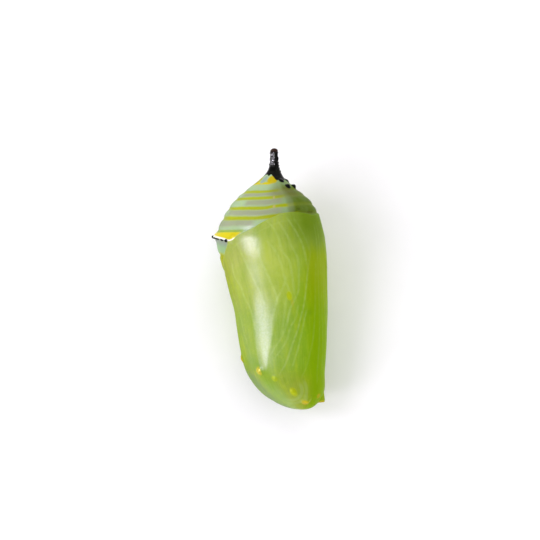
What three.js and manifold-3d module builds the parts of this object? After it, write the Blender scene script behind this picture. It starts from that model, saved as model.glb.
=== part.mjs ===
// A monarch butterfly's chrysalis, picked from its silk pad and lying on its right flank.
// It grew as one piece, so it is one closed solid, in millimetres, +Z up: the black stalk
// (cremaster) points along +Y, the belly looks along +X and the left wing case looks up.
//
// The body is a surface of two parameters. One runs from the stalk's tip to the head, the
// other is the angle round the body: 0 at the middle of the belly, 90 on the animal's left,
// 180 down the middle of the back. Low relief is added to the distance from the middle line.

import * as THREE from 'three';
import { mergeVertices } from 'three/addons/utils/BufferGeometryUtils.js';
import Module from 'manifold-3d';

// Driving dimensions, in millimetres and degrees. Distances run from the stalk's tip.

const LENGTH = 27.8; // from the stalk's tip to the lowest point of the head
const WIDTH_TO_DEPTH = 1.04; // the body's sections are a little wider than deep

// [distance, middle line's offset towards the belly, half depth]
const BODY_STATIONS = [
  [0.0, 0.03, 0.0], [0.12, 0.03, 0.28], [0.45, 0.03, 0.38], [1.0, 0.02, 0.4],
  [1.6, 0.01, 0.45], [2.25, 0.0, 0.6], [2.75, -0.05, 0.86], [3.25, -0.14, 1.27],
  [3.9, -0.2, 2.0], [4.5, -0.2, 2.79], [5.2, -0.18, 3.63], [6.0, -0.16, 4.33],
  [6.8, -0.22, 4.82], [7.7, -0.33, 5.2], [8.6, -0.44, 5.52], [9.5, -0.51, 5.78],
  [10.4, -0.4, 5.8], [11.4, -0.21, 5.73], [12.6, 0.0, 5.59], [14.0, 0.24, 5.4],
  [15.6, 0.48, 5.21], [17.4, 0.78, 4.98], [19.4, 0.99, 4.81], [21.2, 1.14, 4.63],
  [22.6, 1.26, 4.43], [23.8, 1.43, 4.19], [24.8, 1.73, 3.87], [25.6, 2.05, 3.52],
  [26.3, 2.38, 3.05], [26.9, 2.71, 2.39], [27.4, 3.02, 1.66], [27.7, 3.28, 0.86],
  [LENGTH, 3.44, 0.0],
];

// The hem runs right round the body: up to RIDGE_START it is the wing case's outer margin,
// and across the back it is the beaded ridge. [angle, distance]
const HEM = [
  [0, 7.2], [10, 7.1], [20, 6.98], [30, 6.96], [38, 7.0], [48, 7.15], [60, 7.6], [70, 8.1],
  [78, 8.6], [86, 9.0], [95, 9.45], [104, 10.0], [112, 9.85], [122, 9.7], [136, 9.57],
  [150, 9.5], [180, 9.45],
];
const RIDGE_START = 104;
const RIDGE_HEIGHT = 0.2;
const RIDGE_FALL = 0.35; // how far the ridge takes to fall away along the body
const BEADS = 17;
const BEAD = { along: 0.34, out: 0.17, across: 0.17 }; // half sizes of one bead

// The wing case's inner margin, from the hem to the wing's root. [distance, angle]
const INNER_MARGIN = [
  [9.5, 103], [10.7, 114], [11.6, 124], [12.8, 133], [15, 140], [18, 146], [21, 150],
];
const WING_RAISE = 0.14; // the case stands this far out of the abdomen
const WING_ROOT = { from: 20.5, to: 22.8 }; // where the case runs out into the thorax
const HEM_STEP = 0.14; // how wide the step down to the abdomen is
const HEM_DIP = 1.2; // how far the abdomen takes to rise again beyond the hem

// The front edge of the feelers, which bounds the panel of legs and tongue. [distance, angle]
const FEELER_EDGE = [[7.5, 4], [11.7, 17], [14.2, 23], [16, 27], [18.1, 35], [20.5, 46], [23.5, 64]];
const PANEL_DROP = 0.09; // the panel lies this far below the wing cases

const ABDOMEN_JOINTS = [4.75, 5.45, 6.5, 7.55, 8.75]; // rings of the pointed end
const BACK_JOINTS = [11.4, 13.2, 15.1, 17.2]; // rings on the back, between the wing cases
const JOINT_DEPTH = 0.11;
const JOINT_FALL = 0.24;
const JOINT_LEAN = 0.13; // on the belly the rings lie nearer the tip, in mm per mm of depth

const WAIST = { at: 16.8, fall: 2.6, spread: 42, depth: 0.3 }; // a dip in the back
const KEEL = { at: 21.6, fall: 2.4, spread: 17, height: 0.3 }; // a low ridge down the thorax
const FLANK = { at: 22.8, fall: 2.8, angle: 125, spread: 20, depth: 0.34 }; // flat, roof-like
const EYE = { at: 25.7, angle: 52, size: 1.15, height: 0.12 };

// Small raised points on both sides: distance, angle, height and foot radius of each.
const POINTS = {
  thorax: [22.4, 149, 0.16, 0.5],
  shoulder: [23.6, 100, 0.3, 0.55],
  cheek: [24.4, 78, 0.12, 0.36],
  eye: [25.8, 56, 0.12, 0.42],
  stalkFoot: [4.15, 15, 0.3, 0.36],
  stalkSide: [3.5, 23, 0.14, 0.34],
};
const HORN = { at: 26.6, angle: 34, height: 0.5, foot: 0.6, forward: 0.6 };

// How it lies on a flat surface, and how far its skin is flat where it rests.
const UP_ANGLE = 54; // the angle round the body that looks up
const PITCH = 12.9; // turns the stalk up, about a crosswise line
const RESTING_FLAT = 0.05;

const COLUMNS = 60;
const ROWS_TO_HEM = 25;
const ROWS_PAST_HEM = 30;
const POINT_SIDES = 8;
const BEAD_SIDES = 6;

const SKIN = { color: 0x98b94c, roughness: 0.32, metalness: 0 };

const radians = THREE.MathUtils.degToRad;
const ramp = THREE.MathUtils.smoothstep;
const bell = (x, fall) => Math.exp(-((x / fall) ** 2));

// A smooth curve through [x, y] points: each span is a cubic whose ends lean as the
// chords across its neighbours do.
function through(points, x) {
  const last = points.length - 1;
  const at = Math.min(Math.max(points.filter((p) => p[0] <= x).length, 1), last);
  const [low, high] = [points[at - 1], points[at]];
  const lean = (i) => {
    const [before, after] = [points[Math.max(i - 1, 0)], points[Math.min(i + 1, last)]];
    return (after[1] - before[1]) / (after[0] - before[0]);
  };
  const span = high[0] - low[0];
  const f = THREE.MathUtils.clamp((x - low[0]) / span, 0, 1);
  const s = f * f * (3 - 2 * f);
  return low[1] * (1 - s) + high[1] * s
    + span * f * (1 - f) * ((1 - f) * lean(at - 1) - f * lean(at));
}

// The middle line: x is the distance, y the offset towards the belly, z the half depth.
const middleLine = new THREE.CatmullRomCurve3(
  BODY_STATIONS.map(([distance, offset, depth]) => new THREE.Vector3(distance, offset, depth)),
  false, 'catmullrom', 0.5,
);

// The share of the middle line's stations that lie before a distance, by halving.
function shareAt(distance) {
  let [low, high] = [0, 1];
  for (let i = 0; i < 30; i += 1) {
    const middle = (low + high) / 2;
    if (middleLine.getPoint(middle).x < distance) low = middle;
    else high = middle;
  }
  return (low + high) / 2;
}

// How far the skin stands out of its plain oval section. Fold is the angle from the belly,
// 0 to 180, the same on both sides.
function relief(distance, fold, depth) {
  const hem = through(HEM, fold);
  const beforeHem = hem - distance;
  const inner = through(INNER_MARGIN, distance);
  const onBack = ramp(fold, RIDGE_START - 4, RIDGE_START + 2);
  const betweenWings = ramp(fold, inner - 3, inner + 3) * (beforeHem < 0 ? 1 : 0)
    * (1 - ramp(distance, WING_ROOT.from, WING_ROOT.to));
  const dip = beforeHem > HEM_STEP / 2 ? (1 - onBack) * Math.exp(-beforeHem / HEM_DIP) : 0;
  const ridge = RIDGE_HEIGHT * onBack * bell(beforeHem, RIDGE_FALL);

  const ring = distance + JOINT_LEAN * depth * Math.max(Math.cos(radians(fold)), 0) ** 2;
  const joints = beforeHem > 0
    ? ABDOMEN_JOINTS.reduce((sum, at) => sum + bell(ring - at, JOINT_FALL), 0)
    : betweenWings * BACK_JOINTS.reduce((sum, at) => sum + bell(distance - at, JOINT_FALL), 0);

  const edge = through(FEELER_EDGE, distance);
  const panel = beforeHem < 0 ? ramp(distance, 9, 12) * (1 - ramp(distance, 23.5, 25.5))
    * (1 - ramp(fold, edge - 4, edge + 2)) : 0;

  const waist = WAIST.depth * bell(fold - 180, WAIST.spread) * bell(distance - WAIST.at, WAIST.fall);
  const keel = KEEL.height * bell(fold - 180, KEEL.spread) * bell(distance - KEEL.at, KEEL.fall);
  const flank = FLANK.depth * bell(fold - FLANK.angle, FLANK.spread)
    * bell(distance - FLANK.at, FLANK.fall);
  const eye = EYE.height * bell(distance - EYE.at, EYE.size)
    * bell(radians(fold - EYE.angle) * depth, EYE.size);

  return ridge + keel + eye - waist - flank - WING_RAISE * Math.max(betweenWings, dip)
    - JOINT_DEPTH * joints - PANEL_DROP * panel;
}

// A point of the skin, with the stalk up, the belly along X and the left side along Z.
function skinPoint(share, angle) {
  const { x: distance, y: offset, z: depth } = middleLine.getPoint(share);
  const fold = Math.abs(THREE.MathUtils.euclideanModulo(angle + 180, 360) - 180);
  const out = depth + relief(distance, fold, depth) * Math.min(depth, 1);
  const width = THREE.MathUtils.lerp(1, WIDTH_TO_DEPTH, ramp(distance, 3, 6));
  return new THREE.Vector3(
    offset + out * Math.cos(radians(angle)), -distance, out * width * Math.sin(radians(angle)),
  );
}

// The skin is a grid of columns and rows. In each column one row lies on the hem, and the
// row before it at the foot of the hem's step, so that the step and the ridge are crisp.
function bodyGeometry() {
  const rows = ROWS_TO_HEM + ROWS_PAST_HEM;
  const columnShares = (fold) => {
    const hem = through(HEM, fold);
    const [foot, top] = [shareAt(hem - HEM_STEP), shareAt(hem)];
    return (row) => (row < ROWS_TO_HEM
      ? foot * (row / (ROWS_TO_HEM - 1))
      : top + (1 - top) * ((row - ROWS_TO_HEM) / ROWS_PAST_HEM));
  };
  const positions = [];
  const grid = [];
  for (let column = 0; column < COLUMNS; column += 1) {
    const angle = (column / COLUMNS) * 360;
    const share = columnShares(Math.min(angle, 360 - angle));
    for (let row = 1; row < rows; row += 1) positions.push(...skinPoint(share(row), angle));
  }
  const tip = positions.length / 3;
  positions.push(...skinPoint(0, 0), ...skinPoint(1, 0));
  const at = (column, row) => {
    if (row === 0) return tip;
    if (row === rows) return tip + 1;
    return (column % COLUMNS) * (rows - 1) + row - 1;
  };
  for (let column = 0; column < COLUMNS; column += 1) {
    for (let row = 0; row < rows; row += 1) {
      const [a, b] = [at(column, row), at(column + 1, row)];
      const [c, d] = [at(column + 1, row + 1), at(column, row + 1)];
      if (row > 0) grid.push(a, b, c);
      if (row < rows - 1) grid.push(a, c, d);
    }
  }
  const geometry = new THREE.BufferGeometry();
  geometry.setAttribute('position', new THREE.Float32BufferAttribute(positions, 3));
  geometry.setIndex(grid);
  return geometry;
}

// Where a distance and an angle are on the skin, with the directions out of it and forward.
function standOn(distance, angle) {
  const [share, small] = [shareAt(distance), 0.004];
  const foot = skinPoint(share, angle);
  const forward = skinPoint(share + small, angle).sub(skinPoint(share - small, angle));
  const round = skinPoint(share, angle + 1).sub(skinPoint(share, angle - 1));
  const out = round.clone().cross(forward).normalize();
  return { foot, out, forward: forward.normalize(), round: round.normalize() };
}

// A low dome on the skin: half sizes forward, out and round the body.
function dome(distance, angle, along, height, across, sides) {
  const { foot, out, forward } = standOn(distance, angle);
  const side = new THREE.Vector3().crossVectors(out, forward);
  const geometry = new THREE.SphereGeometry(1, sides, 4).scale(across, height, along);
  geometry.applyMatrix4(new THREE.Matrix4().makeBasis(side, out, forward));
  return geometry.translate(...foot);
}

// A horn of the head: a cone that leans forward, with its foot sunk in the skin.
function horn(side) {
  const { foot, out, forward } = standOn(HORN.at, side * HORN.angle);
  const lean = out.clone().addScaledVector(forward, HORN.forward).normalize();
  const geometry = new THREE.ConeGeometry(HORN.foot, HORN.height * 2, POINT_SIDES);
  geometry.applyQuaternion(
    new THREE.Quaternion().setFromUnitVectors(new THREE.Vector3(0, 1, 0), lean),
  );
  return geometry.translate(...foot);
}

// The beads stand in a row along the ridge, longer round the body than along it.
function beads() {
  const arc = 360 - 2 * RIDGE_START;
  return Array.from({ length: BEADS }, (_, i) => {
    const angle = RIDGE_START + (arc * (i + 0.5)) / BEADS;
    const distance = through(HEM, Math.min(angle, 360 - angle));
    return dome(distance, angle, BEAD.across, BEAD.out, BEAD.along, BEAD_SIDES);
  });
}

const points = Object.values(POINTS).flatMap(([distance, angle, height, foot]) => (
  [1, -1].map((side) => dome(distance, side * angle, foot, height, foot, POINT_SIDES))
));

const wasm = await Module();
wasm.setup();

function solidOf(geometry) {
  geometry.deleteAttribute('normal');
  geometry.deleteAttribute('uv');
  const merged = mergeVertices(geometry, 1e-5);
  return new wasm.Manifold(new wasm.Mesh({
    numProp: 3,
    vertProperties: new Float32Array(merged.attributes.position.array),
    triVerts: new Uint32Array(merged.index.array),
  }));
}

function geometryOf(solid) {
  const { numProp, vertProperties, triVerts } = solid.getMesh();
  const geometry = new THREE.BufferGeometry();
  const corners = Array.from(triVerts).flatMap((v) => (
    [...vertProperties.slice(v * numProp, v * numProp + 3)]
  ));
  geometry.setAttribute('position', new THREE.Float32BufferAttribute(corners, 3));
  geometry.computeVertexNormals();
  return geometry;
}

// Turns a geometry as the chrysalis lies, and stands it on z = 0 over the origin.
function laidDown(geometry) {
  geometry.rotateY(radians(UP_ANGLE - 90)).rotateX(radians(PITCH));
  geometry.computeBoundingBox();
  const { min, max } = geometry.boundingBox;
  return geometry.translate(-(min.x + max.x) / 2, -(min.y + max.y) / 2, -min.z - RESTING_FLAT);
}

// What the surface takes away where the chrysalis rests: everything below z = 0.
function belowSurface() {
  const size = 2 * LENGTH;
  return new THREE.BoxGeometry(size, size, size).translate(0, 0, -size / 2);
}

const grown = [...beads(), ...points, horn(1), horn(-1)]
  .reduce((body, small) => body.add(solidOf(small)), solidOf(bodyGeometry()));
const lying = solidOf(laidDown(geometryOf(grown))).subtract(solidOf(belowSurface()));

const chrysalis = new THREE.Mesh(geometryOf(lying), new THREE.MeshStandardMaterial(SKIN));
chrysalis.name = 'chrysalis';

const part = new THREE.Group();
part.add(chrysalis);

export default part;
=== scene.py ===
"""A monarch butterfly's chrysalis lies on its right flank on a pale floor.

Its skin is one surface of two parameters: the distance from the stalk's tip, and the angle round
the body from the middle of the belly (0) over the left flank (90) to the middle of the back (180).
The right side repeats the left, so shapes and colours read the folded angle, 0 to 180. Sizes are
in millimetres and degrees until a mesh is made.
"""

import bpy
import numpy as np
from mathutils import Matrix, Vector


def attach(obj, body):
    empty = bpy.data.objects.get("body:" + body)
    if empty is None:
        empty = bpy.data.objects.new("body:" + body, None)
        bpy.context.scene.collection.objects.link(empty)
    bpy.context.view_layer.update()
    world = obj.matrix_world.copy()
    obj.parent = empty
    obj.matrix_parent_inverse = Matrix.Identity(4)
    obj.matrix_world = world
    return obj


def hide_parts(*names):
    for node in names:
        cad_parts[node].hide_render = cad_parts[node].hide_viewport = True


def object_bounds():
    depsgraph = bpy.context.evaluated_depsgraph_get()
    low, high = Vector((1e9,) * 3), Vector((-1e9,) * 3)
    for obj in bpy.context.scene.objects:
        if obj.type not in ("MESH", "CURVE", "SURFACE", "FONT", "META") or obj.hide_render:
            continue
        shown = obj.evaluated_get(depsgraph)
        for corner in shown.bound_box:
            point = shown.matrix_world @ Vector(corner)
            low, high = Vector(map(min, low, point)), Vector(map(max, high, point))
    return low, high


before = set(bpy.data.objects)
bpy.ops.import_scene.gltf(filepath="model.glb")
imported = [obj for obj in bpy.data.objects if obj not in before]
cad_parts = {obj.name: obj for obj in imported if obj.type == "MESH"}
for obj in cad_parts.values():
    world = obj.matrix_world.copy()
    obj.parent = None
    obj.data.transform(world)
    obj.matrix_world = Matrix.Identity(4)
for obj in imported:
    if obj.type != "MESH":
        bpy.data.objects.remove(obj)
cad_low, cad_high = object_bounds()

# --------------------------------------------------------------- sizes of the body, as in the frame

LENGTH = 27.8
WIDTH_TO_DEPTH = 1.04
# distance, middle line's offset towards the belly, half depth
BODY_STATIONS = np.array([
    (0.0, 0.03, 0.0), (0.12, 0.03, 0.28), (0.45, 0.03, 0.38), (1.0, 0.02, 0.4),
    (1.6, 0.01, 0.45), (2.25, 0.0, 0.6), (2.75, -0.05, 0.86), (3.25, -0.14, 1.27),
    (3.9, -0.2, 2.0), (4.5, -0.2, 2.79), (5.2, -0.18, 3.63), (6.0, -0.16, 4.33),
    (6.8, -0.22, 4.82), (7.7, -0.33, 5.2), (8.6, -0.44, 5.52), (9.5, -0.51, 5.78),
    (10.4, -0.4, 5.8), (11.4, -0.21, 5.73), (12.6, 0.0, 5.59), (14.0, 0.24, 5.4),
    (15.6, 0.48, 5.21), (17.4, 0.78, 4.98), (19.4, 0.99, 4.81), (21.2, 1.14, 4.63),
    (22.6, 1.26, 4.43), (23.8, 1.43, 4.19), (24.8, 1.73, 3.87), (25.6, 2.05, 3.52),
    (26.3, 2.38, 3.05), (26.9, 2.71, 2.39), (27.4, 3.02, 1.66), (27.7, 3.28, 0.86),
    (LENGTH, 3.44, 0.0),
])
# The hem is the wing case's outer margin up to RIDGE_START, and the beaded ridge from there.
HEM = np.array([
    (0, 7.2), (10, 7.1), (20, 6.98), (30, 6.96), (38, 7.0), (48, 7.15), (60, 7.6), (70, 8.1),
    (78, 8.6), (86, 9.0), (95, 9.45), (104, 10.0), (112, 9.85), (122, 9.7), (136, 9.57),
    (150, 9.5), (180, 9.45),
])  # angle, distance
RIDGE_START = 104
RIDGE_HEIGHT = 0.2
RIDGE_FALL = 0.35
BEADS = 17
BEAD = (0.34, 0.17, 0.17)  # half sizes round the body, out of it and along it

INNER_MARGIN = np.array([
    (9.5, 103), (10.7, 114), (11.6, 124), (12.8, 133), (15, 140), (18, 146), (21, 150),
])  # of the wing case on the back: distance, angle
WING_RAISE = 0.14
WING_ROOT = (20.5, 22.8)
HEM_STEP = 0.14
HEM_DIP = 1.2
FEELER_EDGE = np.array([
    (7.5, 4), (11.7, 17), (14.2, 23), (16, 27), (18.1, 35), (20.5, 46), (23.5, 64),
])  # distance, angle
PANEL_START, PANEL_END = (9, 12), (23.5, 25.5)
PANEL_DROP = 0.09

ABDOMEN_JOINTS = (4.75, 5.45, 6.5, 7.55, 8.75)
BACK_JOINTS = (11.4, 13.2, 15.1, 17.2)
JOINT_DEPTH = 0.11
JOINT_FALL = 0.24
JOINT_LEAN = 0.13

WAIST_DEPTH, WAIST = 0.3, dict(at=16.8, fall=2.6, angle=180, spread=42)
KEEL_HEIGHT, KEEL = 0.3, dict(at=21.6, fall=2.4, angle=180, spread=17)
FLANK_DEPTH, FLANK = 0.34, dict(at=22.8, fall=2.8, angle=125, spread=20)
EYE = dict(at=25.7, angle=52, size=1.15, height=0.12)

# Raised points on both sides: distance, angle, height and foot radius.
GOLD_POINTS = {
    "thorax": (22.4, 149, 0.16, 0.5), "shoulder": (23.6, 100, 0.26, 0.55),
    "cheek": (24.4, 78, 0.12, 0.36), "eye": (25.8, 56, 0.12, 0.42),
}
BLACK_POINTS = {"stalk_foot": (4.15, 15, 0.3, 0.36), "stalk_side": (3.5, 23, 0.14, 0.34)}
HORN = dict(at=26.6, angle=34, height=0.55, foot=0.75, lean=(0.21, -0.54, 0.0), sharp=0.8)
LUMP_SPREAD = 1.25  # how far a point's soft foot reaches, in feet

UP_ANGLE = 54
PITCH = 12.9
RESTING_FLAT = 0.05
MM = 0.001

# ---------------------------------------------------------------- fine relief and marks

# The paler veins of the wing case and the edges of feelers and legs: (distance, angle) points.
VEINS = {
    "outer_1": [(8.1, 61), (9.4, 51), (11.0, 48), (12.1, 42), (13.3, 41), (15.2, 40)],
    "outer_2": [(8.3, 48), (9.4, 41), (10.6, 37), (11.5, 33), (12.5, 32), (13.8, 33),
                (15.2, 35), (16.2, 41), (17.1, 47), (18.4, 52)],
    "outer_3": [(7.9, 38), (9.1, 30), (10.2, 25), (12.0, 22)],
    "outer_4": [(8.0, 29), (9.6, 20), (11.0, 16)],
    "cell_front": [(10.4, 59), (11.3, 54), (12.5, 51), (14.1, 49), (14.7, 47), (15.4, 45)],
    "cell_end": [(14.1, 49), (14.6, 51), (15.2, 55), (16.1, 61)],
    "cell_back": [(11.0, 72), (12.0, 72), (13.2, 68), (14.4, 65), (15.4, 62), (16.1, 61),
                  (17.0, 65), (17.7, 68), (19.1, 71), (21.0, 76)],
    "middle": [(10.6, 95), (12.1, 90), (13.3, 87), (14.2, 84), (15.2, 80), (16.3, 77)],
    "hind": [(12.7, 110), (13.8, 110), (14.7, 104), (15.8, 102), (16.7, 98), (17.7, 96),
             (19.1, 95), (21.5, 95)],
    "root": [(14.5, 124), (17.0, 120), (19.6, 116), (20.8, 114), (22.0, 112)],
    "feeler": [(11.7, 17), (12.8, 20), (14.2, 23), (16, 27), (18.1, 35), (19.4, 40),
               (20.5, 46), (21.6, 51), (22.7, 57), (23.5, 64)],
    "front_1": [(17.1, 38), (18.1, 42), (18.9, 48), (20.3, 54), (21.2, 61), (21.8, 67)],
    "front_2": [(17.3, 48), (18.9, 54), (20.1, 61), (20.8, 67), (21.5, 73)],
    "front_3": [(16.2, 51), (17.8, 55), (19.3, 59)],
    "leg_1": [(12.5, 7), (14.5, 9), (16.7, 11), (18.7, 14), (20.4, 17), (21.5, 21),
              (22.7, 25), (24.0, 34)],
    "leg_2": [(17.6, 27), (20.1, 36), (21.3, 40), (22.8, 47)],
    "tongue": [(8.5, 2.5), (14, 3), (20, 4), (24.5, 7)],
}
VEIN_HALF_WIDTH = 0.14
VEIN_HEIGHT = 0.01

STALK_END = 3.2
STALK_KNOBS = 90
KNOB_REACH = (0.15, 2.9)
KNOB_SIZES = (0.6, 1.2)
KNOB_HEIGHT = 0.075
KNOB_RADIUS = 0.13

# How unlike each other the beads are: places in shares of a bead's room, millimetres along the
# body, and shares of the plain bead's length and breadth.
BEAD_SHIFTS, BEAD_DRIFTS = (-0.12, 0.12), (-0.04, 0.04)
BEAD_LENGTHS, BEAD_BREADTHS = (0.75, 1.15), (0.8, 1.1)

# The far edge of the stalk's black, further on the belly side, in small lobes: angle, distance;
# then each wave's height, waves round the body and turn.
BLACK_EDGE = [(0, 3.3), (22, 3.62), (38, 3.5), (50, 3.25), (70, 2.95), (110, 2.9), (180, 2.95)]
BLACK_LOBES = [(0.07, 9, 0), (0.04, 17, 50)]
INSIDE_BLACK = -0.02
EYE_CENTRE = (25.7, 60, 0.0)

ROWS_TO_HEM, ROWS_PAST_HEM, COLUMNS = 175, 205, 240
CROWD_TO_HEM, CROWD_PAST_HEM = 1.3, 1.2
BEAD_ROWS, BEAD_SIDES = 9, 14

# The camera looks along the middle of this angle, at right angles to the body's length.
VIEW_ANGLE = 60
MM_PER_PIXEL = 0.1065
FRAME_PIXELS = 540
TIP_PIXEL = (274.0, 148.0)  # where the stalk's tip comes in the frame
LENS = 200.0
SENSOR = 36.0

rng = np.random.default_rng(7)


# ---------------------------------------------------------------- shapes

def bell(x, fall):
    """1 at zero, falling away on both sides: exp(-(x / fall) squared)."""
    return np.exp(-((x / fall) ** 2))


def ramp(x, low, high):
    """0 below low and 1 above high, with the smooth cubic 3f^2 - 2f^3 between."""
    f = np.clip((x - low) / (high - low), 0, 1)
    return f * f * (3 - 2 * f)


def through(points, x):
    """A smooth curve through points: each span is a cubic whose ends lean as the chords
    across its neighbours do."""
    points = np.asarray(points, float)
    last = len(points) - 1
    at = np.clip(np.searchsorted(points[:, 0], x, side="right"), 1, last)
    index = np.arange(last + 1)
    before, after = np.maximum(index - 1, 0), np.minimum(index + 1, last)
    lean = (points[after, 1] - points[before, 1]) / (points[after, 0] - points[before, 0])
    low, high = points[at - 1], points[at]
    span = high[..., 0] - low[..., 0]
    f = np.clip((x - low[..., 0]) / span, 0, 1)
    s = f * f * (3 - 2 * f)
    return (low[..., 1] * (1 - s) + high[..., 1] * s
            + span * f * (1 - f) * ((1 - f) * lean[at - 1] - f * lean[at]))


def middle_line(share):
    """Distance, offset and half depth at a share of the stations: an even Catmull-Rom curve
    through them, carried straight on past both ends."""
    ends = 2 * BODY_STATIONS[[0, -1]] - BODY_STATIONS[[1, -2]]
    points = np.vstack([ends[:1], BODY_STATIONS, ends[1:]])
    spans = len(BODY_STATIONS) - 1
    t = np.clip(share, 0, 1) * spans
    i = np.minimum(t.astype(int), spans - 1)
    f = (t - i)[..., None]
    a, b, c, d = points[i], points[i + 1], points[i + 2], points[i + 3]
    return 0.5 * (2 * b + (c - a) * f + (2 * a - 5 * b + 4 * c - d) * f**2
                  + (3 * b - a - 3 * c + d) * f**3)


SHARES = np.linspace(0, 1, 6001)
SHARE_DISTANCES = middle_line(SHARES)[:, 0]


def share_at(distance):
    """The share of the stations that lie before a distance, read from a fine table."""
    return np.interp(distance, SHARE_DISTANCES, SHARES)


def swell(distance, fold, at, fall, angle, spread):
    """A rise round one place: a bell along the body times a bell round it."""
    return bell(distance - at, fall) * bell(fold - angle, spread)


def broad_relief(distance, fold, depth):
    """How far the skin stands out of its plain oval section, in bells and ramps: the ridge,
    the rings' grooves, the wing cases, the belly panel, waist, keel, flanks and eyes."""
    hem = through(HEM, fold)
    past = distance - hem
    inner = through(INNER_MARGIN, distance)
    on_back = ramp(fold, RIDGE_START - 4, RIDGE_START + 2)
    between = ramp(fold, inner - 3, inner + 3) * (past > 0) * (1 - ramp(distance, *WING_ROOT))
    dip = (past <= 0) * (1 - on_back) * np.exp(np.minimum(past, 0) / HEM_DIP)
    dip = dip * (1 - ramp(past, -HEM_STEP, 0))
    ridge = RIDGE_HEIGHT * on_back * bell(past, RIDGE_FALL)

    ring = ring_distance(distance, fold, depth)
    rings = (past <= 0) * sum(bell(ring - at, JOINT_FALL) for at in ABDOMEN_JOINTS)
    rings = rings + between * sum(bell(distance - at, JOINT_FALL) for at in BACK_JOINTS)

    edge = through(FEELER_EDGE, distance)
    panel = (past > 0) * ramp(distance, *PANEL_START) * (1 - ramp(distance, *PANEL_END))
    panel = panel * (1 - ramp(fold, edge - 4, edge + 2))

    waist = WAIST_DEPTH * swell(distance, fold, **WAIST)
    keel = KEEL_HEIGHT * swell(distance, fold, **KEEL)
    flank = FLANK_DEPTH * swell(distance, fold, **FLANK)
    eye = EYE["height"] * bell(distance - EYE["at"], EYE["size"])
    eye = eye * bell(np.radians(fold - EYE["angle"]) * depth, EYE["size"])
    return (ridge + keel + eye - waist - flank - WING_RAISE * np.maximum(between, dip)
            - JOINT_DEPTH * rings - PANEL_DROP * panel)


def ring_distance(distance, fold, depth):
    """The distance counted along the abdomen's rings, which lean towards the tip on the belly."""
    return distance + JOINT_LEAN * depth * np.maximum(np.cos(np.radians(fold)), 0) ** 2


def folded(angle):
    """The angle from the middle of the belly, 0 to 180, the same on both sides."""
    return np.abs((angle + 180) % 360 - 180)


def skin_points(share, angle):
    """Points of the skin with the stalk up, the belly along X and the left side along Z: an
    oval section round the middle line, let out by the broad relief."""
    distance, offset, depth = np.moveaxis(middle_line(share), -1, 0)
    out = depth + broad_relief(distance, folded(angle), depth) * np.minimum(depth, 1)
    width = 1 + (WIDTH_TO_DEPTH - 1) * ramp(distance, 3, 6)
    turn = np.radians(angle)
    return np.stack([offset + out * np.cos(turn), -distance, out * width * np.sin(turn)], -1)


def skin_spot(distance, angle):
    """The point of the skin at one distance and angle."""
    return skin_points(share_at(np.array([float(distance)])), np.array([float(angle)]))[0]


def outward(points):
    """Unit normals of a grid of points that closes on itself round the body."""
    down = np.gradient(points, axis=0)
    round_body = np.roll(points, -1, axis=1) - np.roll(points, 1, axis=1)
    normal = np.cross(round_body, down)
    return normal / np.maximum(np.linalg.norm(normal, axis=-1, keepdims=True), 1e-9)


def skin_grid():
    """Shares and angles of the skin's grid. In each column one row lies on the hem, and the
    rows crowd together towards it from both sides."""
    angle = np.arange(COLUMNS) * 360 / COLUMNS
    top = share_at(through(HEM, folded(angle)))[None, :]
    before = 1 - (1 - np.linspace(0, 1, ROWS_TO_HEM, endpoint=False)[:, None]) ** CROWD_TO_HEM
    after = np.linspace(0, 1, ROWS_PAST_HEM)[:, None] ** CROWD_PAST_HEM
    share = np.vstack([top * before, top + (1 - top) * after])
    return share, np.broadcast_to(angle, share.shape)


def vein_relief(distance, fold, depth):
    """Low rounded threads along the veins: a bell across each, faded at its two ends."""
    raised = np.zeros_like(distance)
    for points in VEINS.values():
        (start, _), (end, _) = points[0], points[-1]
        across = np.radians(fold - through(points, distance)) * depth
        begun, over = ramp(distance, start - 0.3, start + 0.4), ramp(distance, end - 0.4, end + 0.3)
        along = begun * (1 - over)
        raised = np.maximum(raised, bell(across, VEIN_HALF_WIDTH) * along)
    return VEIN_HEIGHT * raised


def lump(points, foot, radius, height, sharp=0.0):
    """A rounded lump round a foot point, its profile (1 - d^2)^2, or a cone's where sharp is 1."""
    d = np.minimum(np.linalg.norm(points - foot, axis=-1) / radius, 1)
    return height * ((1 - sharp) * (1 - d**2) ** 2 + sharp * (1 - d) ** 1.3)


def fine_skin(points, distance, fold, depth):
    """The skin with its small lumps: veins, gold and black points, horns and the stalk's knobs."""
    normal = outward(points)
    raised = vein_relief(distance, fold, depth)
    for at, angle, height, foot in [*GOLD_POINTS.values(), *BLACK_POINTS.values()]:
        for side in (1, -1):
            raised = raised + lump(points, skin_spot(at, side * angle),
                                   foot * LUMP_SPREAD, height)
    on_stalk = distance < STALK_END
    for _ in range(STALK_KNOBS):
        at, angle = rng.uniform(*KNOB_REACH), rng.uniform(0, 360)
        size = rng.uniform(*KNOB_SIZES)
        raised[on_stalk] += lump(points[on_stalk], skin_spot(at, angle), KNOB_RADIUS * size,
                                 KNOB_HEIGHT * size)
    moved = points + normal * raised[..., None]
    for side in (1, -1):
        foot = skin_spot(HORN["at"], side * HORN["angle"])
        nearest = np.unravel_index(
            np.argmin(np.linalg.norm(points - foot, axis=-1)), points.shape[:2])
        lean = normal[nearest] + HORN["lean"]
        lean = lean / np.linalg.norm(lean)
        raised = lump(points, foot, HORN["foot"], HORN["height"], HORN["sharp"])
        moved = moved + lean * raised[..., None]
    return moved


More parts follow.
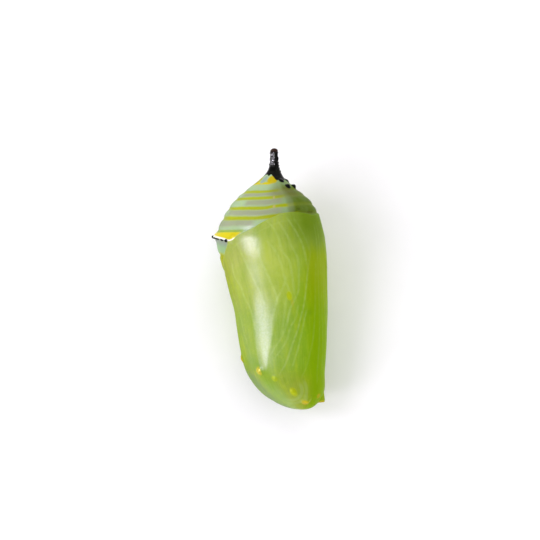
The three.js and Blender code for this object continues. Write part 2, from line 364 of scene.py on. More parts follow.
def lying(points):
    """Turns points as the chrysalis lies: rolled until UP_ANGLE looks up, then pitched."""
    roll, pitch = np.radians(UP_ANGLE - 90), np.radians(PITCH)
    x, y, z = np.moveaxis(np.asarray(points, float), -1, 0)
    x, z = x * np.cos(roll) + z * np.sin(roll), z * np.cos(roll) - x * np.sin(roll)
    y, z = y * np.cos(pitch) - z * np.sin(pitch), y * np.sin(pitch) + z * np.cos(pitch)
    return np.stack([x, y, z], -1)


def bead_points():
    """The ridge's beads: each an egg of two angles, stretched round the body, of its own
    length and tilt, half sunk in the ridge. One grid for each bead."""
    polar = np.linspace(0, np.pi, BEAD_ROWS)[:, None]
    turn = np.linspace(0, 2 * np.pi, BEAD_SIDES, endpoint=False)[None, :]
    ball = np.stack([np.cos(polar) + 0 * turn, np.sin(polar) * np.cos(turn),
                     np.sin(polar) * np.sin(turn)], -1)
    arc = 360 - 2 * RIDGE_START
    made = []
    for i in range(BEADS):
        angle = RIDGE_START + arc * (i + 0.5 + rng.uniform(*BEAD_SHIFTS)) / BEADS
        at = through(HEM, folded(np.array([angle])))[0] + rng.uniform(*BEAD_DRIFTS)
        foot, beside = skin_spot(at, angle), skin_spot(at, angle + 1)
        round_body = (beside - foot) / np.linalg.norm(beside - foot)
        out = np.array([np.cos(np.radians(angle)), 0, np.sin(np.radians(angle))])
        out = out - round_body * (out @ round_body)
        out = out / np.linalg.norm(out)
        along = np.cross(round_body, out)
        size = np.array(BEAD) * (rng.uniform(*BEAD_LENGTHS), 1.0, rng.uniform(*BEAD_BREADTHS))
        made.append(foot + ball * size @ np.stack([round_body, out, along]))
    return made


# ---------------------------------------------------------------- meshes

def closed_grid_mesh(name, grids, fields=None):
    """One mesh of grids whose columns close round and whose first and last rows are poles.
    Fields are values at every grid point, kept as point attributes."""
    vertices, faces, values, start = [], [], {key: [] for key in fields or {}}, 0
    for grid in grids:
        rows, columns = grid.shape[:2]
        inside = grid[1:-1].reshape(-1, 3)
        vertices += [inside, grid[:1, 0], grid[-1:, 0]]
        for key in values:
            field = fields[key]
            values[key] += [field[1:-1].ravel(), field[:1, 0], field[-1:, 0]]
        here = start + np.arange((rows - 2) * columns).reshape(rows - 2, columns)
        beside = np.roll(here, -1, axis=1)
        faces.append(np.stack([here[:-1], beside[:-1], beside[1:], here[1:]], -1).reshape(-1, 4))
        first, last = start + len(inside), start + len(inside) + 1
        faces.append(np.stack([np.full(columns, first), beside[0], here[0]], -1))
        faces.append(np.stack([np.full(columns, last), here[-1], beside[-1]], -1))
        start += len(inside) + 2
    mesh = bpy.data.meshes.new(name)
    points = np.vstack(vertices)
    mesh.vertices.add(len(points))
    mesh.vertices.foreach_set("co", points.astype(np.float32).ravel())
    sizes = np.concatenate([np.full(len(f), f.shape[1]) for f in faces])
    mesh.loops.add(int(sizes.sum()))
    corners = np.concatenate([f.ravel() for f in faces])
    mesh.loops.foreach_set("vertex_index", corners.astype(np.int32))
    mesh.polygons.add(len(sizes))
    mesh.polygons.foreach_set("loop_start", (np.cumsum(sizes) - sizes).astype(np.int32))
    mesh.update(calc_edges=True)
    mesh.polygons.foreach_set("use_smooth", np.ones(len(sizes), bool))
    for key, parts in values.items():
        attribute = mesh.attributes.new(key, "FLOAT", "POINT")
        attribute.data.foreach_set("value", np.concatenate(parts).astype(np.float32))
    mesh.validate()
    made = bpy.data.objects.new(name, mesh)
    bpy.context.scene.collection.objects.link(made)
    return made


def face_means(piece, name):
    """The mean over each face of a value kept at the points."""
    value = np.empty(len(piece.data.vertices), np.float32)
    piece.data.attributes[name].data.foreach_get("value", value)
    corner = np.empty(len(piece.data.loops), np.int32)
    piece.data.loops.foreach_get("vertex_index", corner)
    first = np.empty(len(piece.data.polygons), np.int32)
    piece.data.polygons.foreach_get("loop_start", first)
    sizes = np.diff(np.append(first, len(corner)))
    return np.add.reduceat(value[corner], first) / sizes


share, angle = skin_grid()
distance, _, depth = np.moveaxis(middle_line(share), -1, 0)
fold = folded(angle)
plain_skin = skin_points(share, angle)
lying_skin = lying(fine_skin(plain_skin, distance, fold, depth))
beads = [lying(bead) for bead in bead_points()]

# The lying body is set in the frame's box, and its skin is flat where it rests.
everything = np.vstack([lying_skin.reshape(-1, 3), *[bead.reshape(-1, 3) for bead in beads]])
body_low, body_high = everything.min(0) + (0, 0, RESTING_FLAT), everything.max(0)
box_low, box_high = np.array(cad_low), np.array(cad_high)


def placed(points):
    """Millimetres of the lying body as metres in the frame's box, none below the floor."""
    share_of_box = np.maximum(points - body_low, (-np.inf, -np.inf, 0)) / (body_high - body_low)
    return box_low + share_of_box * (box_high - box_low)


def black_edge(fold):
    """How far the stalk's black reaches: a smooth curve plus two sine waves."""
    reach = through(BLACK_EDGE, fold)
    for height, waves, ahead in BLACK_LOBES:
        reach = reach + height * np.sin(np.radians(fold * waves + ahead))
    return reach


def near(points, spots):
    """Distance to the nearest of some spots of the skin, less each spot's radius."""
    gaps = [np.linalg.norm(points - skin_spot(at, side * turn), axis=-1) - radius
            for at, turn, radius in spots for side in (1, -1)]
    return np.min(gaps, axis=0)


black_spots = [(at, turn, foot * 0.95) for at, turn, _, foot in BLACK_POINTS.values()]
point_values = {
    "distance": distance,
    "fold": fold,
    "past_hem": distance - through(HEM, fold),
    "past_inner": np.radians(fold - through(INNER_MARGIN, distance)) * depth,
    "ring": ring_distance(distance, fold, depth),
    "black": np.minimum(distance - black_edge(fold), near(plain_skin, black_spots)),
    "eye_gap": near(plain_skin, [EYE_CENTRE]),
}
body = closed_grid_mesh("chrysalis_skin", [placed(lying_skin)], point_values)
placed_beads = [placed(bead) for bead in beads]
bead_row = closed_grid_mesh("ridge_beads", placed_beads, {
    "distance": np.full(placed_beads[0].shape[:2], through(HEM, 180)),
})

# ---------------------------------------------------------------- node helpers


def colour(code):
    """A colour written as six hexadecimal digits, as linear light."""
    parts = np.array([int(code[i:i + 2], 16) for i in (0, 2, 4)]) / 255
    linear = np.where(parts <= 0.04045, parts / 12.92, ((parts + 0.055) / 1.055) ** 2.4)
    return (*linear.tolist(), 1.0)


def give(tree, sockets, values):
    """Links each named socket to another one, or sets it to a plain value."""
    for key, value in values.items():
        if isinstance(value, bpy.types.NodeSocket):
            tree.links.new(value, sockets[key])
        else:
            sockets[key].default_value = value


def node(tree, kind, inputs=None, **settings):
    """A shader node with its settings and inputs."""
    made = tree.nodes.new("ShaderNode" + kind)
    for key, value in settings.items():
        setattr(made, key, value)
    give(tree, made.inputs, inputs or {})
    return made


def maths(tree, operation, *values):
    """The result of a Math node."""
    return node(tree, "Math", dict(enumerate(values)), operation=operation).outputs[0]


def times(tree, first, *others):
    """The product of two or more values."""
    for other in others:
        first = maths(tree, "MULTIPLY", first, other)
    return first


def leaned(tree, value, other, centre, slope):
    """A value plus a slope times how far another one is past a centre."""
    rise = times(tree, maths(tree, "SUBTRACT", other, centre), slope)
    return maths(tree, "ADD", value, rise)


def attribute(tree, name):
    """A value kept at the mesh's points."""
    return node(tree, "Attribute", attribute_name=name).outputs["Fac"]


def step(tree, value, low, high, bottom=0.0, top=1.0):
    """A smooth step of a value, from bottom at low to top at high."""
    inputs = {"Value": value, "From Min": low, "From Max": high, "To Min": bottom, "To Max": top}
    return node(tree, "MapRange", inputs, interpolation_type="SMOOTHSTEP").outputs["Result"]


def noise(tree, vector, scale, detail, roughness):
    """Smooth noise of one grain, about 0.2 to 0.8."""
    inputs = {"Vector": vector, "Scale": scale, "Detail": detail, "Roughness": roughness}
    return node(tree, "TexNoise", inputs).outputs["Fac"]


def blend(tree, amount, first, second):
    """First where the amount is 0 and second where it is 1."""
    return node(tree, "Mix", {0: amount, 6: first, 7: second}, data_type="RGBA").outputs[2]


def paint(tree, under, code, mark, strength=1.0):
    """Lays a colour over the one under it, as thickly as the mark there times a strength."""
    amount = mark if strength == 1.0 else times(tree, mark, strength)
    return blend(tree, amount, under, colour(code))


def curve(tree, value, points, width, height):
    """A smooth curve through points as a Float Curve node, its axes scaled to 0..1."""
    made = node(tree, "FloatCurve", {"Value": maths(tree, "DIVIDE", value, width)})
    drawn = made.mapping.curves[0].points
    for _ in range(len(points) - 2):
        drawn.new(0.5, 0.5)
    for spot, (x, y) in zip(drawn, points):
        spot.location = (x / width, y / height)
    made.mapping.update()
    return times(tree, made.outputs[0], height)


def new_group(name, inputs, outputs):
    """A shader node group with named float inputs and outputs."""
    tree = bpy.data.node_groups.new(name, "ShaderNodeTree")
    for socket, value in inputs.items():
        made = tree.interface.new_socket(socket, in_out="INPUT", socket_type="NodeSocketFloat")
        made.default_value = value
    for socket in outputs:
        tree.interface.new_socket(socket, in_out="OUTPUT", socket_type="NodeSocketFloat")
    return tree, tree.nodes.new("NodeGroupInput").outputs, tree.nodes.new("NodeGroupOutput").inputs


def use(tree, group, **inputs):
    """Places a group; input names are written with underscores for spaces."""
    made = node(tree, "Group", node_tree=group)
    give(tree, made.inputs, {key.replace("_", " "): value for key, value in inputs.items()})
    return made.outputs


def line_group():
    """A soft line where Place meets Middle, kept between From and To along Along."""
    tree, given, result = new_group("soft_line", {
        "Place": 0, "Middle": 0, "Half Width": 1, "Along": 0, "From": -100, "To": 100, "Fade": 0.5,
    }, ["Mark"])
    gap = maths(tree, "ABSOLUTE", maths(tree, "SUBTRACT", given["Place"], given["Middle"]))
    across = step(tree, maths(tree, "DIVIDE", gap, given["Half Width"]), 0.25, 1.0, 1.0, 0.0)
    before = maths(tree, "SUBTRACT", given["From"], given["Fade"])
    after = maths(tree, "ADD", given["To"], given["Fade"])
    starts = step(tree, given["Along"], before, given["From"])
    ends = step(tree, given["Along"], given["To"], after, 1.0, 0.0)
    tree.links.new(times(tree, across, starts, ends), result["Mark"])
    return tree


def patch_group():
    """An oval patch of the skin with a soft edge, measured along and round the body."""
    tree, given, result = new_group("soft_patch", {
        "Distance": 0, "Fold": 0, "At": 0, "Angle": 0,
        "Half Length": 1, "Half Spread": 10, "Softness": 0.3,
    }, ["Mark"])
    squares = []
    for place, centre, half in (
        ("Distance", "At", "Half Length"), ("Fold", "Angle", "Half Spread"),
    ):
        gap = maths(tree, "SUBTRACT", given[place], given[centre])
        share_of_half = maths(tree, "DIVIDE", gap, given[half])
        squares.append(times(tree, share_of_half, share_of_half))
    far = maths(tree, "SQRT", maths(tree, "ADD", *squares))
    low = maths(tree, "SUBTRACT", 1.0, given["Softness"])
    high = maths(tree, "ADD", 1.0, given["Softness"])
    tree.links.new(step(tree, far, low, high, 1.0, 0.0), result["Mark"])
    return tree


def grain_group():
    """Fine mottling in the object's own space, from two noises of different grain."""
    tree, given, result = new_group("waxy_grain", {"Grain Size": 0.0004}, ["Mottle", "Height"])
    place = node(tree, "TexCoord").outputs["Object"]
    scale = maths(tree, "DIVIDE", 1.0, given["Grain Size"])
    tree.links.new(noise(tree, place, times(tree, scale, 0.22), 3.0, 0.55), result["Mottle"])
    tree.links.new(noise(tree, place, scale, 2.0, 0.5), result["Height"])
    return tree


soft_line, soft_patch, waxy_grain = line_group(), patch_group(), grain_group()


def line(tree, place, middle, half_width, **reach):
    """The mark of one soft line; its reach names Along, From, To and Fade."""
    return use(tree, soft_line, Place=place, Middle=middle, Half_Width=half_width, **reach)["Mark"]


def patch(tree, place, around, at, angle, half_length, half_spread, softness):
    """The mark of one oval patch."""
    return use(tree, soft_patch, Distance=place, Fold=around, At=at, Angle=float(angle),
               Half_Length=half_length, Half_Spread=float(half_spread), Softness=softness)["Mark"]


def region(tree, fields, steps):
    """The product of smooth steps, each a field's name, its low and high value, and where they
    aren't 0 and 1, the values at those two."""
    return times(tree, *(step(tree, fields[name], *limits) for name, *limits in steps))


def paint_tones(tree, under, fields, tones):
    """Lays colours over one another, each as strongly as its region says."""
    for code, strength, steps in tones:
        under = paint(tree, under, code, region(tree, fields, steps), strength)
    return under


def paint_patches(tree, under, place, around, patches):
    """Lays oval patches over a colour, each with its own colour and strength."""
    for *oval, code, strength in patches:
        under = paint(tree, under, code, patch(tree, place, around, *oval), strength)
    return under


def new_material(name):
    """A new material with its node tree and its shader."""
    material = bpy.data.materials.new(name)
    material.use_nodes = True
    tree = material.node_tree
    return material, tree, tree.nodes["Principled BSDF"]


# ---------------------------------------------------------------- the skin's colours

LEAF_ROUND_BODY = [  # the wing case from the belly to the back: angle, colour
    (0, "709200"), (10, "789A00"), (24, "82A410"), (45, "86A02C"), (75, "8A9E34"), (105, "8E9A34"),
    (128, "808C22"), (180, "7C8A26"),
]
MINT, LILAC, BELLY_OLIVE = "9CB487", "8E8C74", "526604"
RING_YELLOW, NECK_YELLOW, BAND_GOLD, LINE_WHITE = "9CA600", "C4B800", "CCC000", "F2F2DC"
BLACK, BLACK_MOTTLE, STALK_TIP = "060705", "141610", "38261E"
VEIN_PALE, GOLD_SPOT, ORANGE = "BAD084", "B2AC00", "C98A20"

# Tones: colour, strength, and the steps of the region where each lies.
WING_TONES = [
    ("A8B06C", 0.34, [("place", 16.0, 8.5)]),
    ("78A428", 0.38, [("place", 14.0, 19.0), ("place", 24.6, 22.6), ("around", 14, 34)]),
    ("8A9226", 0.4, [("place", 23.2, 25.0)]),
]
MOTTLE_TONES = [
    ("76980C", 0.26, [("mottle", 0.42, 0.66)]), ("A8B828", 0.16, [("pores", 0.5, 0.75)]),
]
# A darker green on the wing case just past the hem towards the belly: painted shade beside the hem.
PAINTED_HEM_SHADE_TONES = [("5E7A06", 0.8, [("past_hem", 5.0, 1.2), ("around", 58, 14)])]
OLIVE_TONES = [
    (BELLY_OLIVE, 0.34, [("around", 72, 44)]),
    (BELLY_OLIVE, 1.0, [("around", 42, 30), ("place", 3.8, 4.4, 0.35, 1.0)]),
]
RING_MOTTLE_TONES = [("9DB884", 0.16, [("mottle", 0.3, 0.8)])]
# Darker grey-green towards the back of the abdomen: painted shade along its edge.
RING_BACK_PAINTED_SHADE_TONES = [("6C8458", 0.42, [("around", 114, 142)])]
STRIP_TONES = [("82A02C", 1.0, [("place", 10.8, 12.4)])]

# Regions that are used on their own: steps.
THORAX = [("turning", 24.4, 26.1, 0.0, 0.7), ("around", 62, 84)]
BELLY = [("around", 32, 12), ("place", 9.5, 11.5)]
EYE_FRONT = [("towards_front", 498, 520)]
BETWEEN_WINGS = [("past_inner", -0.08, 0.08), ("place", 23.0, 20.5)]
ABDOMEN = [("past_hem", -0.03, -0.09)]
BEFORE_RIDGE = [("past_hem", -0.1, -0.2)]
BAND = [("ring", 8.96, 9.08), ("around", 90, 95)]
BLACK_PARTS = [("black", 0.03, -0.03)]
TIP_OF_STALK = [("place", 0.5, 0.15)]
GLINTS = [
    ("around", 48, 60), ("around", 122, 106), ("place", 2.1, 1.6), ("place", 0.4, 0.6),
    ("pores", 0.49, 0.54),
]
WEDGE = [("share_of_wedge", 0.45, 1.2, 1.0, 0.0), ("place", 11.4, 19.2), ("place", 23.9, 22.8)]
SHEEN = [
    ("around", 34, 62, 0.0, 0.22), ("turned", 128, 100), ("place", 8.2, 9.6, 0.4, 1.0),
    ("place", 14.5, 18.0, 1.0, 1.4), ("place", 22.2, 23.8, 1.0, 0.45),
]

# Oval patches: distance, angle, half length, half spread, softness, colour and strength.
WING_PATCHES_AND_PAINTED_SHEEN = [
    # The first two patches are paler where the wax's sheen and haze lie on the flank: painted
    # sheen.
    (12.8, 60, 3.8, 22, 0.7, "BCCA50", 0.44), (14.3, 101, 1.9, 12, 0.8, "C0CC68", 0.28),
    (20.0, 120, 2.2, 13, 0.8, "71893C", 0.3),
]
SHOULDER_PATCHES = [
    (24.3, 91, 1.1, 15, 0.7, "6A9A00", 0.45), (22.9, 112, 0.9, 20, 0.6, "5F8A2A", 0.4),
]
NECK_PATCHES = [
    (3.4, 62, 0.42, 20, 0.2, "B8A600", 1.0), (3.5, 130, 0.4, 16, 0.2, "A6A000", 1.0),
    (3.4, 98, 0.42, 12, 0.2, "8EA290", 1.0),
]
RING_DOTS = [(at, 57, 0.15, 1.8, 0.5, "C0A878", 0.6) for at in (5.45, 6.5)]
BELLY_PATCHES = [
    (4.7, 44, 0.7, 20, 0.6, "747A3C", 0.55), (5.9, 33, 1.1, 5, 0.6, "7C8A5E", 0.6),
    (4.7, 20, 0.5, 16, 0.6, "6A6840", 0.55), (6.55, 23, 0.09, 3, 0.6, "3E4216", 0.5),
    (6.85, 3, 0.11, 4, 0.6, "3E4216", 0.45),
]
BACK_PATCHES = [(12.0, 134, 0.8, 12, 0.35, "8E9600", 1.0)]
DARK_SPOT = [(17.4, 20, 0.32, 4, 0.9, "4F7A10", 0.2)]

# Gold and yellow spots: distance, angle, half length, half spread, colour, strength and polish.
SPOT_SOFTNESS = 0.3
GOLD_SPOTS = [
    (23.6, 99, 0.42, 3.8, GOLD_SPOT, 1.0, 0.4), (22.4, 149, 0.45, 4.5, "A89A00", 1.0, 0.0),
    (24.4, 78, 0.3, 4.4, "A0B000", 0.6, 0.0), (25.8, 56, 0.44, 5.4, "A2AE00", 1.0, 0.0),
    (26.85, 36, 0.36, 10, "B0A200", 1.0, 0.1), (15.7, 46.3, 0.45, 3, "ACBC00", 0.9, 0.0),
    (16.4, 43.5, 0.35, 1.8, "B0A420", 0.3, 0.0), (26.3, 1, 0.25, 5, ORANGE, 0.35, 0.0),
]

# Lilac bands on the flanks: where the ring starts and ends, and the band's first and last angle.
LILAC_BANDS = [
    (4.75, 5.45, 44, 118), (5.45, 6.5, 50, 96), (6.5, 7.55, 52, 122), (7.55, 8.75, 84, 150),
]
LILAC_ON_BACK = (170, 200)
LILAC_MIDDLE, LILAC_HALF = 0.45, 0.42  # of the ring's length
# Yellow lines: distance along the rings, half width, and the angle where each fades at the belly.
RING_LINES = [(4.75, 0.24, 48), (5.45, 0.26, 42), (6.5, 0.28, 34), (7.55, 0.36, 30)]
LINE_FADE, LINE_SHOWN = (-14, 8), (0.12, 0.95)

# Streaks of the leaf green: how fine they are round the body and along it, the noise's detail,
# and the tones laid on it, each with its low and high value, strength and colour.
STREAKS = [
    (0.13, 0.3, 4.0, [(0.48, 0.7, 0.3, "A4B418"), (0.5, 0.3, 0.3, "6E9000")]),
    (0.55, 0.35, 3.0, [(0.5, 0.7, 0.2, "A8C050")]),
]
VEIN_STRENGTH = 0.16
VEIN_STRENGTHS = {
    **dict.fromkeys(("feeler", "cell_back", "cell_end"), 0.21),
    **dict.fromkeys(("tongue", "leg_1", "outer_4", "root"), 0.07),
}
MM_PER_DEGREE = 0.09  # round the body, about
EYE_ARCS = [(1.22, 0.13), (1.72, 0.11)]  # radius, strength

# The shiny wedge between the wing's middle and the shoulder: distance, angle.
WEDGE_MIDDLE = [(14.0, 68), (16.5, 75), (18.3, 81), (20.0, 85), (21.5, 88), (23.6, 91)]
WEDGE_HALF_SPREAD = [(14.0, 18), (17.0, 20), (18.3, 18.5), (20.5, 14), (22.3, 10), (23.6, 6)]
SHINY_OVAL = (10.05, 81, 1.75, 12.5, 0.75)  # distance, angle, half length, half spread, softness
SHINY_HAZE = (13.4, 76, 2.7, 17, 0.8)
HAZE_STRENGTH = 0.46


def leaf_green(tree, skin):
    """The wing case, thorax and head: green that yellows towards the stalk and greys
    towards the shoulder, with long faint streaks, paler veins and the eye's two arcs. Paler
    patches on the flank and the thorax's lighter front are painted sheen, and a darker band
    beside the hem towards the belly is painted shade."""
    place, around = skin["place"], skin["around"]
    round_body = node(tree, "ValToRGB", {"Fac": maths(tree, "DIVIDE", around, 180.0)})
    stops = round_body.color_ramp.elements
    while len(stops) < len(LEAF_ROUND_BODY):
        stops.new(0.5)
    for stop, (turn, code) in zip(stops, LEAF_ROUND_BODY):
        stop.position, stop.color = turn / 180, colour(code)
    green = paint_tones(tree, round_body.outputs["Color"], skin, WING_TONES)
    # Paler patches on the flank are painted sheen; the last one is a darker patch lower down.
    green = paint_patches(tree, green, place, around, WING_PATCHES_AND_PAINTED_SHEEN)
    thorax = region(tree, {**skin, "turning": leaned(tree, place, around, 80.0, 0.03)}, THORAX)
    # The thorax's grey-green, lighter towards the front, where the lighter tone is painted sheen.
    thorax_tone_and_painted_sheen = blend(tree, step(tree, around, 118, 88), colour("5F8157"), colour("88A660"))
    green = blend(tree, thorax, green, thorax_tone_and_painted_sheen)

    for finer_round, finer_along, detail, tones in STREAKS:
        stretched = node(tree, "CombineXYZ", {"X": times(tree, around, finer_round),
                                              "Y": times(tree, place, finer_along)})
        streak = noise(tree, stretched.outputs[0], 1.0, detail, 0.6)
        for low, high, strength, code in tones:
            green = paint(tree, green, code, step(tree, streak, low, high), strength)
    green = paint_tones(tree, green, skin, MOTTLE_TONES)
    belly_green = blend(tree, step(tree, place, 13.0, 19.0), colour("8CA000"), colour("7DA000"))
    green = blend(tree, times(tree, region(tree, skin, BELLY), 0.8), green, belly_green)

    margin = line(tree, skin["past_hem"], 0.8, 0.14, Along=around, From=24.0, To=98.0, Fade=6.0)
    green = paint(tree, green, VEIN_PALE, margin, 0.07)
    green = paint_patches(tree, green, place, around, SHOULDER_PATCHES)
    # Painted shade beside the hem, towards the belly.
    green = paint_tones(tree, green, skin, PAINTED_HEM_SHADE_TONES)

    across = times(tree, around, MM_PER_DEGREE)
    for name, points in VEINS.items():
        middle = times(tree, curve(tree, place, points, LENGTH, 180), MM_PER_DEGREE)
        mark = line(tree, across, middle, 0.2, Along=place,
                    From=points[0][0], To=points[-1][0], Fade=0.7)
        if name == "feeler":
            mark = times(tree, mark, step(tree, place, 12.0, 15.5, 0.35, 1.0))
        strength = VEIN_STRENGTHS.get(name, VEIN_STRENGTH)
        broken = step(tree, skin["pores"], 0.3, 0.65, strength * 0.4, strength)
        green = paint(tree, green, VEIN_PALE, times(tree, mark, broken))

    towards_front = maths(tree, "SUBTRACT", times(tree, place, 22.0), around)
    front = region(tree, {"towards_front": towards_front}, EYE_FRONT)
    for radius, strength in EYE_ARCS:
        arc = times(tree, line(tree, skin["eye_gap"], radius, 0.32), front)
        green = paint(tree, green, "BDD2A0", arc, strength)
    return green


def abdomen_bands(tree, skin):
    """The abdomen's rings: mint, with lilac bands between thin yellow lines, olive on the
    belly and painted shade towards the back. The lines waver a little with the mottling."""
    place, around = skin["place"], skin["around"]
    ring = leaned(tree, skin["ring"], skin["mottle"], 0.5, 0.3)
    bands = paint_tones(tree, colour(MINT), skin, OLIVE_TONES)
    for start, end, *on_flank in LILAC_BANDS:
        length = end - start
        for (first, last), fade, strength in ((on_flank, 9.0, 0.72), (LILAC_ON_BACK, 14.0, 0.5)):
            lilac = line(tree, ring, start + LILAC_MIDDLE * length, LILAC_HALF * length,
                         Along=around, From=float(first), To=float(last), Fade=fade)
            bands = paint(tree, bands, LILAC, lilac, strength)
    bands = paint_tones(tree, bands, skin, RING_MOTTLE_TONES)
    for at, half_width, fades_at in RING_LINES:
        shown = step(tree, around, *(fades_at + past for past in LINE_FADE), *LINE_SHOWN)
        mark = times(tree, line(tree, ring, at, half_width), shown)
        bands = paint(tree, bands, RING_YELLOW, mark)
    neck = line(tree, ring, 3.85, 0.22, Along=around, From=70.0, To=200.0, Fade=15.0)
    bands = paint(tree, bands, NECK_YELLOW, neck)
    bands = paint_patches(tree, bands, place, around, NECK_PATCHES)
    bands = paint_patches(tree, bands, ring, around, RING_DOTS)
    bands = paint_patches(tree, bands, place, around, BELLY_PATCHES)
    # Darker towards the back: painted shade.
    return paint_tones(tree, bands, skin, RING_BACK_PAINTED_SHADE_TONES)


def back_strip(tree, skin):
    """The back between the wing cases: grey just past the ridge, a painted shadow of the ridge,
    then mint, then green, with pale lines at its joints."""
    place, around = skin["place"], skin["around"]
    # The grey just past the ridge is a painted shadow of the ridge.
    strip = blend(tree, step(tree, skin["past_hem"], 0.25, 1.1), colour("828E7A"), colour("86A676"))
    strip = paint_tones(tree, strip, skin, STRIP_TONES)
    for at in BACK_JOINTS:
        strip = paint(tree, strip, "B9C66A", line(tree, place, at, 0.3), 0.4)
    return paint_patches(tree, strip, place, around, BACK_PATCHES)


def wax_shine(tree, skin):
    """How glossy the skin's wax is: a little everywhere on the flanks, and most in an oval below
    the ridge and in a long wedge down to the shoulder, with a faint haze between the two."""
    place, around = skin["place"], skin["around"]
    oval = patch(tree, place, leaned(tree, around, place, 10.05, 2.5), *SHINY_OVAL)
    haze = times(tree, patch(tree, place, around, *SHINY_HAZE), HAZE_STRENGTH)
    middle = curve(tree, place, WEDGE_MIDDLE, LENGTH, 180)
    half = curve(tree, place, WEDGE_HALF_SPREAD, LENGTH, 180)
    gap = maths(tree, "ABSOLUTE", maths(tree, "SUBTRACT", around, middle))
    shares = {
        **skin,
        "share_of_wedge": maths(tree, "DIVIDE", gap, half),
        "turned": maths(tree, "SUBTRACT", around, step(tree, place, 12.0, 17.0, 0.0, 14.0)),
    }
    shine = oval
    for other in (region(tree, shares, WEDGE), haze, region(tree, shares, SHEEN)):
        shine = maths(tree, "MAXIMUM", shine, other)
    return shine


def skin_fields(tree, grain_size, *others):
    """The values that tones read: the place on the body, the wax's grain and other attributes."""
    grain = use(tree, waxy_grain, Grain_Size=grain_size)
    return {
        "place": attribute(tree, "distance"), "around": attribute(tree, "fold"),
        "mottle": grain["Mottle"], "pores": grain["Height"],
        **{name: attribute(tree, name) for name in others},
    }


def cuticle():
    """The chrysalis's skin: waxy, a little translucent, coloured by distance and angle."""
    material, tree, shader = new_material("cuticle")
    skin = skin_fields(tree, 0.0005, "past_hem", "past_inner", "ring", "black", "eye_gap")
    place, around, ring, past_hem = (skin[key] for key in ("place", "around", "ring", "past_hem"))

    tint = leaf_green(tree, skin)
    tint = blend(tree, region(tree, skin, BETWEEN_WINGS), tint, back_strip(tree, skin))
    tint = blend(tree, region(tree, skin, ABDOMEN), tint, abdomen_bands(tree, skin))

    before_ridge = region(tree, skin, BEFORE_RIDGE)
    above_band = line(tree, ring, 8.92, 0.24, Along=around, From=92.0, To=200.0, Fade=4.0)
    tint = paint(tree, tint, "86A010", times(tree, above_band, before_ridge), 0.8)
    gold = times(tree, region(tree, skin, BAND), before_ridge)
    tint = paint(tree, tint, BAND_GOLD, gold)
    white_line = line(tree, past_hem, -0.13, 0.13, Along=around, From=101.0, To=200.0, Fade=3.0)
    tint = paint(tree, tint, LINE_WHITE, white_line)

    shine = wax_shine(tree, skin)
    for *oval, code, strength, polish in GOLD_SPOTS:
        spot = times(tree, patch(tree, place, around, *oval, SPOT_SOFTNESS), strength)
        tint = paint(tree, tint, code, spot)
        gold = maths(tree, "MAXIMUM", gold, spot)
        if polish:
            shine = maths(tree, "MAXIMUM", shine, times(tree, spot, polish))
    tint = paint_patches(tree, tint, place, around, DARK_SPOT)
    stalk = blend(tree, region(tree, skin, TIP_OF_STALK), colour(BLACK), colour(STALK_TIP))
    tint = blend(tree, region(tree, skin, BLACK_PARTS), tint, stalk)

    pores = use(tree, waxy_grain, Grain_Size=0.00018)["Height"]
    bump = node(tree, "Bump", {"Height": pores, "Strength": 0.18, "Distance": 0.0001})
    give(tree, shader.inputs, {
        "Base Color": tint,
        "Roughness": step(tree, gold, 0.2, 0.9, 0.34, 0.24),
        "Metallic": times(tree, gold, 0.25),
        "Normal": bump.outputs["Normal"],
        "Coat Weight": times(tree, shine, step(tree, pores, 0.36, 0.6, 0.78, 1.0)),
        "Coat Roughness": 0.33,
        "Coat IOR": 2.15,
        "Specular IOR Level": 0.01,
        "Subsurface Weight": 0.4,
        "Subsurface Radius": (0.8, 1.0, 0.3),
        "Subsurface Scale": 0.0005,
    })
    return material


def black_horn():
    """The glossy black of beads, stalk and foot dots, faintly mottled and brown at the tip,
    with small glints along the stalk's flanks."""
    material, tree, shader = new_material("black_horn")
    skin = skin_fields(tree, 0.00012)
    tint = paint(tree, colour(BLACK), BLACK_MOTTLE, step(tree, skin["mottle"], 0.4, 0.7))
    tint = paint(tree, tint, STALK_TIP, step(tree, skin["place"], 0.55, 0.2))
    bump = node(tree, "Bump", {"Height": skin["pores"], "Strength": 0.2, "Distance": 0.00005})
    give(tree, shader.inputs, {
        "Base Color": tint,
        "Roughness": 0.2,
        "Normal": bump.outputs["Normal"],
        "Coat Weight": region(tree, skin, GLINTS),
        "Coat Roughness": 0.15,
        "Coat IOR": 3.6,
        "Specular IOR Level": 0.05,
    })
    return material


body.data.materials.append(cuticle())
body.data.materials.append(black_horn())
bead_row.data.materials.append(body.data.materials[1])
is_black = face_means(body, "black") < INSIDE_BLACK
body.data.polygons.foreach_set("material_index", is_black.astype(np.int32))

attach(body, "root")
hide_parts("chrysalis")
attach(bead_row, "root")
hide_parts("chrysalis")

# ---------------------------------------------------------------- floor, camera and light

FLOOR_HALF = 1.5
BODY_MIDDLE = (0, 0, 0.006)
WORLD_STRENGTH = 0.74
# Soft lights: name, degrees left of the viewer and up along the body, metres away, width,
# height, power and tint.
LIGHTS = [
    ("softbox_low", 45, -17, 0.35, 0.24, 0.1, 0.41, "F1E8FF"),
    ("softbox_high", 39, 7, 0.35, 0.23, 0.13, 0.47, "F1E8FF"),
    ("fill_right", -74, 0, 0.5, 0.4, 0.7, 0.4, "FFFFFF"),
    ("fill_top", 0, 76, 0.5, 0.7, 0.35, 0.6, "FFFFFF"),
    ("fill_bottom", 0, -74, 0.5, 0.7, 0.35, 0.5, "FFFFFF"),
]


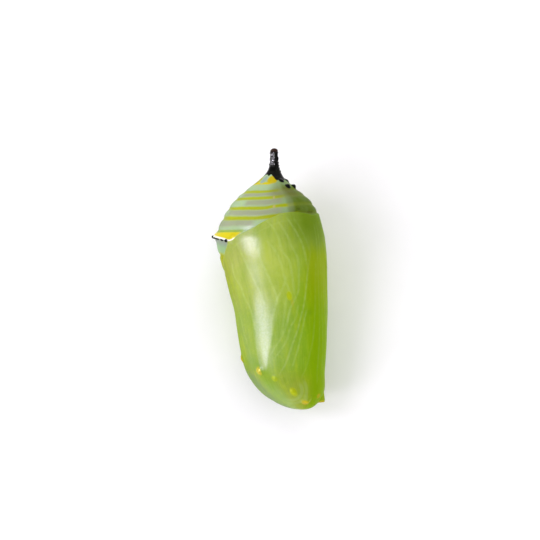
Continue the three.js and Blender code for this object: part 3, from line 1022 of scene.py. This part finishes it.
def pale_floor():
    """A wide flat floor, matte and almost white."""
    mesh = bpy.data.meshes.new("floor")
    corners = [(-FLOOR_HALF, -FLOOR_HALF, 0), (FLOOR_HALF, -FLOOR_HALF, 0),
               (FLOOR_HALF, FLOOR_HALF, 0), (-FLOOR_HALF, FLOOR_HALF, 0)]
    mesh.from_pydata(corners, [], [(0, 1, 2, 3)])
    floor = bpy.data.objects.new("floor", mesh)
    bpy.context.scene.collection.objects.link(floor)
    material, tree, shader = new_material("pale_floor")
    grain = use(tree, waxy_grain, Grain_Size=0.002)
    tint = blend(tree, step(tree, grain["Mottle"], 0.3, 0.7), colour("F6F6F4"), colour("F9F9F7"))
    give(tree, shader.inputs, {"Base Color": tint, "Roughness": 0.8})
    mesh.materials.append(material)


turn = np.radians(VIEW_ANGLE)
to_viewer = lying((np.cos(turn), 0, np.sin(turn)))
image_up = lying((0, 1, 0))
image_right = np.cross(image_up, to_viewer)


def side_camera():
    """Looks square on the body's length from VIEW_ANGLE, with the stalk's tip at TIP_PIXEL."""
    data = bpy.data.cameras.new("camera")
    data.lens, data.sensor_width = LENS, SENSOR
    data.clip_start, data.clip_end = 0.01, 10
    away = FRAME_PIXELS * MM_PER_PIXEL * LENS / SENSOR * MM
    middle = FRAME_PIXELS / 2
    tip = placed(lying((0.0, 0.0, 0.0)))
    target = (tip + image_right * (middle - TIP_PIXEL[0]) * MM_PER_PIXEL * MM
              - image_up * (middle - TIP_PIXEL[1]) * MM_PER_PIXEL * MM)
    camera = bpy.data.objects.new("camera", data)
    matrix = np.eye(4)
    matrix[:3, :3] = np.stack([image_right, image_up, to_viewer], 1)
    matrix[:3, 3] = target + to_viewer * away
    camera.matrix_world = Matrix(matrix)
    bpy.context.scene.collection.objects.link(camera)
    bpy.context.scene.camera = camera


def soft_light(name, left, up, away, width, height, power, tint):
    """An oval soft light that faces the chrysalis."""
    aside, raised = np.radians(left), np.radians(up)
    towards = (np.cos(raised) * (np.cos(aside) * to_viewer - np.sin(aside) * image_right)
               + np.sin(raised) * image_up)
    data = bpy.data.lights.new(name, "AREA")
    data.shape, data.size, data.size_y = "ELLIPSE", width, height
    data.energy, data.color = power, colour(tint)[:3]
    light = bpy.data.objects.new(name, data)
    across = np.cross(image_up, towards)
    across = across / np.linalg.norm(across)
    matrix = np.eye(4)
    matrix[:3, :3] = np.stack([across, np.cross(towards, across), towards], 1)
    matrix[:3, 3] = BODY_MIDDLE + towards * away
    light.matrix_world = Matrix(matrix)
    bpy.context.scene.collection.objects.link(light)


def even_world(strength):
    """Even white light from all round."""
    world = bpy.data.worlds.new("studio")
    world.use_nodes = True
    background = world.node_tree.nodes["Background"]
    background.inputs["Color"].default_value = colour("FFFFFF")
    background.inputs["Strength"].default_value = strength
    bpy.context.scene.world = world


pale_floor()
side_camera()
for light in LIGHTS:
    soft_light(*light)
even_world(WORLD_STRENGTH)
bpy.context.scene.view_settings.view_transform = "Standard"
